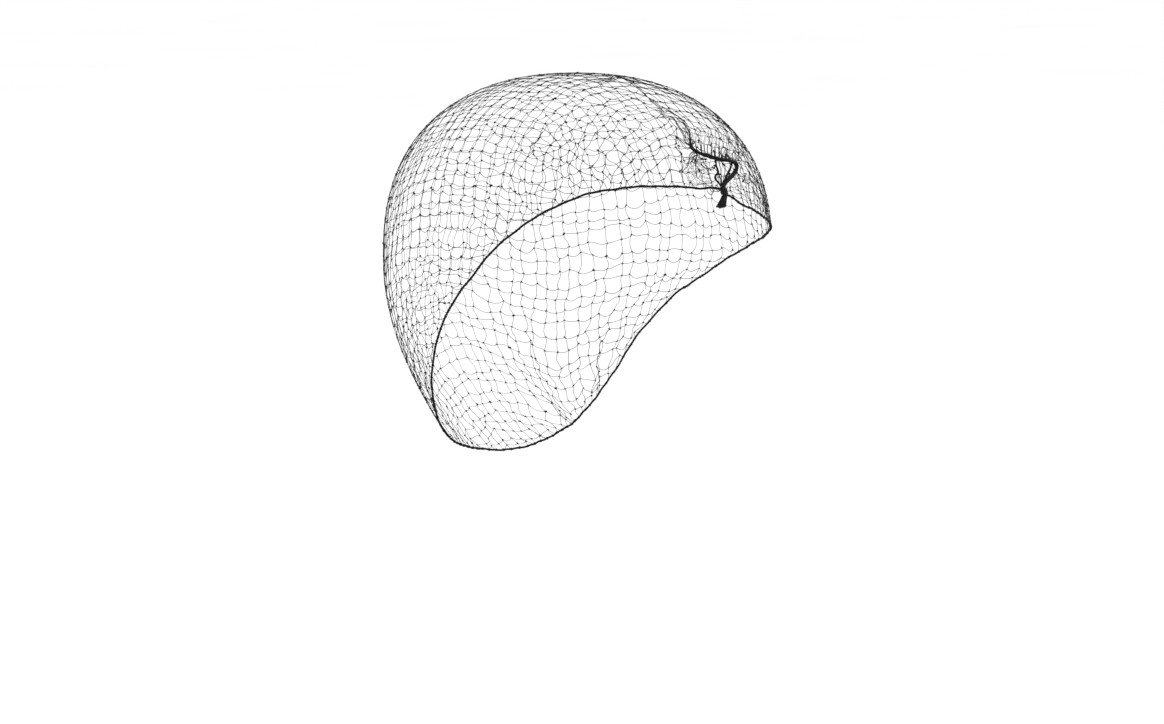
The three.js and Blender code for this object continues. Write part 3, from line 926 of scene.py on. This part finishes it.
leave_place = np.repeat(np.linspace(0, pleat_order[-1], PLEATS_DRAWN), STRANDS_EACH)
leave_place = np.clip(leave_place + chance.normal(0, PLEAT_SHAKE, leave_place.shape), 0, pleat_order[-1])
foot = along_table(pleat_order, PLEAT_FEET, leave_place)
top = along_table(pleat_order, PLEAT_TOPS, leave_place)
pleat_reach = np.linspace(0, 1, 5)[:, None] * chance.uniform(*PLEAT_RANGE, (len(foot), 1, 1))
pleat = foot[:, None] + (top - foot)[:, None] * pleat_reach
pleat_line, _ = in_net(form_point(pleat[..., 0], pleat[..., 1]))
pleat_line[:, -1] = nearest_knots(pleat_line[:, -1])
leave_at = np.linalg.norm(pleat_line[:, :1] - bunch_line, axis=2).argmin(axis=1)
middles = np.stack([
    smooth_line(np.concatenate([bunch_line[: at + 1 : 3], line[1:]]), LEAVING_POINTS)
    for at, line in zip(leave_at, pleat_line)
])
# past is how many millimetres a place lies beyond the point where its strand leaves the bunch
leaving_travel = np.stack([travel_along(line) for line in middles])
past = leaving_travel - bunch_travel[leave_at][:, None]
leaving_wide = np.interp(leaving_travel, bunch_travel, bunch_wide) * (1 - 0.9 * ease(past, -3, 4))
leaving_paths, leaving_out = wound(middles, leaving_wide, BUNCH_TWIST)
stub = np.where(chance.uniform(0, 1, PLEATS_DRAWN) < STUB_SHARE, STUB_WIDE - 1, 0)
stub_here = np.repeat(stub, STRANDS_EACH)[:, None] * (1 - ease(past, 3, 7)) * ease(past, -2, 0)
leaving_radius = STRAND_WIDE / 2 * (1 - 0.5 * ease(past, 2, 12)) * (1 + stub_here)
print(len(leaving_paths), "strands turn up into the pleats")

# %% the bunch
TAIL_STRANDS = 9
TAIL_SPREAD = 1.4
THIN_STRANDS = [
    np.array([(-2.6, 39.5, 0.6), (-2.9, 42.0, 0.7), (-2.8, 44.2, 0.8), (-3.4, 46.0, 0.8)]),
    np.array([(-0.6, 36.6, 0.4), (-1.4, 40.5, 0.4), (-2.9, 45.8, 0.5)]),
    np.array([(1.6, 37.4, 0.4), (0.2, 41.0, 0.4), (-2.6, 45.6, 0.5)]),
]
THIN_POINTS = 40
THIN_TWIST = 0.8
PACKED = 8

along_bunch = np.linspace(0, 1, len(bunch_line))
tail_wide = bunch_wide + TAIL_SPREAD * ease(along_bunch, 0.75, 1)
tail_lines = np.broadcast_to(bunch_line, (TAIL_STRANDS, *bunch_line.shape))
tail_paths, tail_out = wound(tail_lines, tail_wide, BUNCH_TWIST)
tail_radius = STRAND_WIDE / 2 * (1 - 0.6 * ease(along_bunch, 0.55, 1))
bunch_skins = [
    thread_skin(leaving_paths, leaving_radius, STRAND_SIDES, leaving_out),
    thread_skin(tail_paths, tail_radius, STRAND_SIDES, tail_out),
]
for strand_rows in [*STRANDS, *THIN_STRANDS]:
    strand_middle, strand_wide = strand_line(strand_rows, THIN_POINTS)
    strand_middle = smooth_line(np.concatenate([strand_middle, knot_mouth[None]]), THIN_POINTS)
    count = int(np.ceil(PACKED * strand_rows[:, 2].max() ** 2))
    strand_lines = np.broadcast_to(strand_middle, (count, *strand_middle.shape))
    strand_paths, strand_out = wound(strand_lines, strand_wide, THIN_TWIST)
    bunch_skins.append(thread_skin(strand_paths, STRAND_WIDE / 2, STRAND_SIDES, strand_out))
make_piece("front_bunch", bunch_skins, nylon_with_painted_shade, "front_gather")

# %% [markdown]
# Round the bunch the net is slack. Thin wisps run from it over the crown, small folded cells lie between
# it and the elastic on both sides of the knot, a few loops hang below the elastic, and one loose thread
# lies to the wearer's left. They are laid on the net along short tables of turns and drops.

# %% wisps and loose threads
WISPS = [
    (5, [(-10.5, 29.3), (-11.1, 27.0), (-10.8, 24.0), (-10.7, 20.5), (-11.4, 17.7), (-15.1, 16.5)]),
    (4, [(-6.0, 35.2), (-8.5, 34.4), (-9.2, 32.1), (-9.8, 30.4)]),
    (3, [(-9.0, 32.1), (-10.8, 34.4), (-11.0, 36.8), (-9.8, 39.0)]),
    (3, [(-9.8, 29.7), (-12.8, 30.4), (-14.2, 28.7), (-15.0, 25.6)]),
    (3, [(-10.2, 30.0), (-12.2, 27.6), (-13.8, 24.6), (-15.0, 22.5)]),
    (2, [(-9.5, 32.7), (-12.4, 34.3), (-15.6, 34.0), (-19.5, 34.8)]),
    (3, [(-9.6, 31.8), (-11.6, 32.6), (-14.8, 36.4), (-17.0, 40.2)]),
    (4, [(-5.6, 19.8), (-7.4, 17.4), (-9.4, 15.7), (-12.8, 14.9), (-14.6, 14.4)]),
    (2, [(-12.4, 15.0), (-12.4, 11.8), (-13.0, 8.3), (-9.0, 3.8), (-4.8, 1.9)]),
    (2, [(-9.6, 32.1), (-10.9, 35.7), (-12.1, 41.7), (-12.2, 44.9)]),
    (2, [(-9.2, 36.6), (-7.0, 39.4), (-6.4, 44.8)]),
    (2, [(9.0, 40.2), (10.0, 44.3), (14.0, 45.7), (17.5, 47.4), (23.0, 47.0)]),
]
TOP_WISPS = [(-38, 2.4), (-22, 2.0), (-4.8, 1.9), (7.5, 3.3), (15.5, 5.8), (19, 7.6)]
WISP_POINTS = 40
WISP_WIDE = (0.36, 0.16)
WISP_SHAKE = (0.45, 0.35)
WISP_ABOVE = 0.2
TOP_RADIUS = (0.05, 0.09)


def laid_on_net(rows, count):
    """Copies of a thread along a table of turns and drops, on top of the net, each shaken a little. They
    end at knots of the net."""
    shaken = np.array(rows) + chance.normal(0, 1, (count, len(rows), 2)) * WISP_SHAKE
    spots = form_point(shaken[..., 0], np.maximum(shaken[..., 1], 0.5))
    spots[:, -1] = nearest_knots(spots[:, -1])
    return in_net(on_form(np.stack([smooth_line(one, WISP_POINTS) for one in spots])), WISP_ABOVE)


top_paths, top_out = laid_on_net(TOP_WISPS, 6)
top_radius = TOP_RADIUS[0] + TOP_RADIUS[1] * np.sin(np.pi * np.linspace(0, 1, WISP_POINTS))
wisp_skins = [thread_skin(top_paths, top_radius, THREAD_SIDES, top_out)]
wisp_radius = np.linspace(*WISP_WIDE, WISP_POINTS) / 2
for count, rows in WISPS:
    wisp_paths, wisp_out = laid_on_net(rows, count)
    wisp_skins.append(thread_skin(wisp_paths, wisp_radius, THREAD_SIDES, wisp_out))
make_piece("wisps", wisp_skins, nylon_with_painted_shade)

# %% slack folds beside the knot
FOLD_WIDE = 0.13
FOLD_BEND = 0.2
PATCH_HIGH = 1.6
PATCH_FADE = 5
PATCH_SHAKE = (0.3, 0.4)


def slack_folds(turns, top, bottom, rows):
    """Knots of a slack patch between two lines of drops, a grid of turns and shares of the way down,
    shaken and raised in soft waves. Returns the knots, their outward directions and the tied pairs."""
    turn, down = np.meshgrid(turns, np.linspace(0, 1, rows))
    turn = turn + chance.normal(0, PATCH_SHAKE[0], turn.shape)
    drop = np.interp(turn, *top) * (1 - down) + np.interp(turn, *bottom) * down
    drop = drop + chance.normal(0, PATCH_SHAKE[1], turn.shape)
    spots = form_point(turn, drop)
    out = outward(spots)
    wave = np.sin(turn * 1.9 + down * 3) * np.sin(down * 7 + turn * 0.8)
    lift = PATCH_HIGH * (0.5 + 0.5 * wave) * chance.uniform(0.5, 1.1, turn.shape) + NET_DEPTH
    index = np.arange(turn.size).reshape(turn.shape)
    pairs = np.concatenate([
        np.stack([index[:, :-1].ravel(), index[:, 1:].ravel()], axis=1),
        np.stack([index[:-1].ravel(), index[1:].ravel()], axis=1),
    ])
    inside = ease(turn, turns[0], turns[0] + PATCH_FADE)
    inside = inside * (1 - ease(turn, turns[-1] - PATCH_FADE, turns[-1]))
    pairs = pairs[chance.uniform(0, 0.95, len(pairs)) < 0.1 + 0.8 * inside.ravel()[pairs[:, 0]]]
    return (spots + out * lift[..., None]).reshape(-1, 3), out.reshape(-1, 3), pairs


PATCHES = [
    (np.arange(-17, -4, 0.65), ((-17, -11, -4), (39, 33.2, 36.5)), ((-17, -4), (44.6, 46.2)), 13, 0.04),
    (np.arange(-2, 26, 1.6), ((-2, 7, 26), (47.5, 41.5, 47)), ((-2, 10, 26), (47.6, 54.4, 62)), 7, 0.3),
]
fold_t = np.linspace(0, 1, 4)[None, :, None]
fold_skins = []
for *patch, dotted in PATCHES:
    spots, out, pairs = slack_folds(*patch)
    span = spots[pairs[:, 1]] - spots[pairs[:, 0]]
    bend = np.cross(out[pairs[:, 0]], span) * chance.normal(0, FOLD_BEND, (len(pairs), 1))
    fold_paths = bowed(spots[pairs[:, 0]], span, bend, fold_t)
    fold_radius = FOLD_WIDE / 2 * chance.uniform(0.7, 1.3, (len(pairs), 1))
    fold_skins.append(thread_skin(fold_paths, fold_radius, THREAD_SIDES, out[pairs[:, 0]][:, None]))
    shown = chance.uniform(0, 1, len(spots)) < dotted
    size = KNOT_BEAD * chance.uniform(0.4, 0.75, shown.sum())
    way = unit(np.cross(out[shown], unit(chance.normal(size=out[shown].shape))))
    fold_skins.append(bead_skin(spots[shown], way, size, out[shown]))
make_piece("net_folds", fold_skins, nylon_with_painted_shade)

# %% loops under the elastic
HANGING_LOOPS = np.array([(-9.0, 1.6, 1.7), (-8.2, 1.1, 1.1), (-6.7, 2.2, 0.9), (-5.9, 1.3, 0.6)])
HANGING_WIDE = 0.36
HANGING_OUT = 0.4
HANGING_SWAY = 0.3

loop_spot = elastic_point(HANGING_LOOPS[:, 0])
loop_out = outward(loop_spot)
loop_side = unit(np.cross(loop_out, UPWARD))
loop_down = -np.cross(loop_side, loop_out)
whirl = np.radians(np.linspace(-160, 160, 16))
half_wide = HANGING_LOOPS[:, 1][:, None, None]
half_tall = HANGING_LOOPS[:, 2][:, None, None]
hanging = half_wide * np.sin(whirl)[:, None] * loop_side[:, None]
hanging = hanging + half_tall * (1 + np.cos(whirl))[:, None] * loop_down[:, None]
stand_out = HANGING_OUT + HANGING_SWAY * np.sin(2 * whirl)
hanging = loop_spot[:, None] + hanging + loop_out[:, None] * stand_out[:, None]
hanging_skin = thread_skin(hanging, HANGING_WIDE / 2, THREAD_SIDES, loop_out[:, None])
make_piece("hanging_loops", [hanging_skin], nylon_thread)

# %% [markdown]
# The knot holds the bunch and the two ends of the elastic. It is a barrel of thread turns over a core,
# with two turns crossing in front. The turns are helices about the knot's own axis.

# %% the knot's own axes
knot_out_way = outward(KNOT_SPOT)
knot_up = unit(form_point(KNOT_TURN, KNOT_DROP - 0.5) - form_point(KNOT_TURN, KNOT_DROP + 0.5))
knot_axes = np.stack([np.cross(knot_up, knot_out_way), -knot_out_way, knot_up])
knot_middle = raised(np.array(KNOT_TURN), np.array(KNOT_DROP), KNOT_WIDE / 2 + GAP)


def about_knot(far, angle, high, across=0):
    """Points about the knot's axis, at a distance, an angle a and a height. In the knot's axes (across,
    inwards, up) a point is (across + far cos a, far sin a, height), and it is then turned to the
    frame."""
    local = np.broadcast_arrays(far * np.cos(angle) + across, far * np.sin(angle), high)
    return knot_middle + np.stack(local, axis=-1) @ knot_axes


print("knot stands at", knot_middle.round(1).tolist())

# %% the knot
TURN_WIDE = 0.62
KNOT_TURNS = 6
BARREL_END = 0.62
CROSS_TILT = np.array([0.9, -0.8])[:, None]
CROSS_OUT = 0.1
CROSS_SHARE = 0.9
CORE_TALL = 0.96 * KNOT_TALL
CORE_SUNK = 0.55 * TURN_WIDE


def barrel(t):
    """The knot's radius along its length: full in the middle, and less by a sine towards both ends."""
    return KNOT_WIDE / 2 * (BARREL_END + (1 - BARREL_END) * np.sin(np.pi * t))


wrap_t = np.linspace(0, 1, 170)
wrap_high = (KNOT_TALL - TURN_WIDE) * (wrap_t - 0.5)
wraps = about_knot(barrel(wrap_t) - TURN_WIDE / 2, 2 * np.pi * KNOT_TURNS * wrap_t, wrap_high)
cross_angle = 2 * np.pi * np.linspace(0, 1, 60)
cross_far = KNOT_WIDE / 2 - TURN_WIDE / 2 + CROSS_OUT
crossing = about_knot(cross_far, cross_angle, CROSS_TILT * np.cos(cross_angle))
core_t = np.linspace(0, 1, 16)
core = about_knot(0, 0, CORE_TALL * (core_t - 0.5))
knot_skins = [
    thread_skin(wraps[None], TURN_WIDE / 2, 8, knot_up),
    thread_skin(crossing, TURN_WIDE / 2 * CROSS_SHARE, 8, knot_up),
    thread_skin(core[None], barrel(core_t) - CORE_SUNK, 12, knot_out_way),
]
make_piece("tied_knot", knot_skins, nylon_with_painted_shade, "front_knot")

# %% [markdown]
# Below the knot the cut ends stick out as a short brush, flared and cut off nearly straight. One solid
# cone would look moulded, so it is made of separate ends of thread, which leave a narrow root and spread
# with a slight curve.

# %% the tuft of cut ends
TUFT_ENDS = 190
END_WIDE = 0.34
TUFT_TOP = 0.5 - KNOT_TALL / 2
TUFT_LONG = 4.8
TUFT_ROOT = 1.5
TUFT_TIP = 2.6
TUFT_FLARE = 1.6
TUFT_LEAN = -0.82
TUFT_SLANT = 0.3
TUFT_TWIRL = 0.12

tuft_share = np.sqrt(chance.uniform(0, 1, TUFT_ENDS))
spin = chance.uniform(0, 2 * np.pi, TUFT_ENDS)
end_t = np.linspace(0, 1, 6)
root_far = (TUFT_ROOT - END_WIDE / 2) * tuft_share
tip_far = (TUFT_TIP - END_WIDE / 2) * tuft_share
end_far = root_far[:, None] + (tip_far - root_far)[:, None] * end_t**TUFT_FLARE
end_long = TUFT_LONG * chance.uniform(0.95, 1.04, TUFT_ENDS) + TUFT_SLANT * tip_far * np.cos(spin)
fallen = end_long[:, None] * end_t
twirl = spin[:, None] + chance.normal(0, TUFT_TWIRL, (TUFT_ENDS, 1)) * end_t
tuft_ends = about_knot(end_far, twirl, TUFT_TOP - fallen, TUFT_LEAN * fallen)
tuft_skins = [thread_skin(tuft_ends, END_WIDE / 2, THREAD_SIDES, knot_out_way)]
make_piece("cut_ends", tuft_skins, nylon_with_painted_shade, "end_tuft")

# %% [markdown]
# A matt white floor and soft light from all round let thin black threads read as clean dark lines. The
# paint has almost no gleam, and the floor is very wide, so that it fills the picture behind the net.

# %% floor and light
FLOOR_DROP = 270
FLOOR_REACH = 30.0
FLOOR_PATCH = 1 / 3
ROOM_LIGHT = 1.09

floor_paint = new_material("matt_white_floor_paint")
floor_place = add(floor_paint, "ShaderNodeTexCoord")
floor_patches = {"Vector": floor_place.outputs["Object"], "Scale": 1 / FLOOR_PATCH}
floor_noise = add(floor_paint, "ShaderNodeTexNoise", floor_patches)
floor_mix = {"Factor": floor_noise.outputs["Fac"], 6: linear("#f2f2f2"), 7: linear("#f8f8f8")}
floor_tone = add(floor_paint, "ShaderNodeMix", floor_mix, data_type="RGBA")
floor_look = {"Base Color": floor_tone.outputs[2], "Roughness": 0.9}
floor_shader = add(floor_paint, "ShaderNodeBsdfPrincipled", floor_look)
add(floor_paint, "ShaderNodeOutputMaterial", {"Surface": floor_shader.outputs[0]})

floor_corners = FLOOR_REACH * np.array([(-1, -1), (1, -1), (1, 1), (-1, 1)])
floor_mesh = bpy.data.meshes.new("floor")
floor_mesh.from_pydata([(x, y, -FLOOR_DROP * MM) for x, y in floor_corners], [], [(0, 1, 2, 3)])
floor_mesh.materials.append(floor_paint)
floor = bpy.data.objects.new("floor", floor_mesh)
bpy.context.scene.collection.objects.link(floor)
print("floor lies", FLOOR_DROP, "mm below the mount")

world = bpy.data.worlds.new("soft_room")
world.use_nodes = True
background = world.node_tree.nodes["Background"].inputs
background["Color"].default_value = linear("#ffffff")
background["Strength"].default_value = ROOM_LIGHT
bpy.context.scene.world = world
bpy.context.scene.view_settings.view_transform = "Standard"

# %% lamps
LAMPS = [
    ("key", (-1.6, -1.9, 1.5), 2.4, 6),
    ("fill", (1.9, -1.2, 0.9), 2.4, 3),
    ("rim", (0.5, 2.0, 1.4), 2.0, 3),
]
for name, spot, wide, power in LAMPS:
    lamp = bpy.data.lights.new(name, "AREA")
    lamp.size = wide
    lamp.energy = power
    holder = bpy.data.objects.new(name, lamp)
    holder.location = spot
    holder.rotation_euler = (AIM - Vector(spot)).to_track_quat("-Z", "Y").to_euler()
    bpy.context.scene.collection.objects.link(holder)
print(len(LAMPS), "soft lamps")
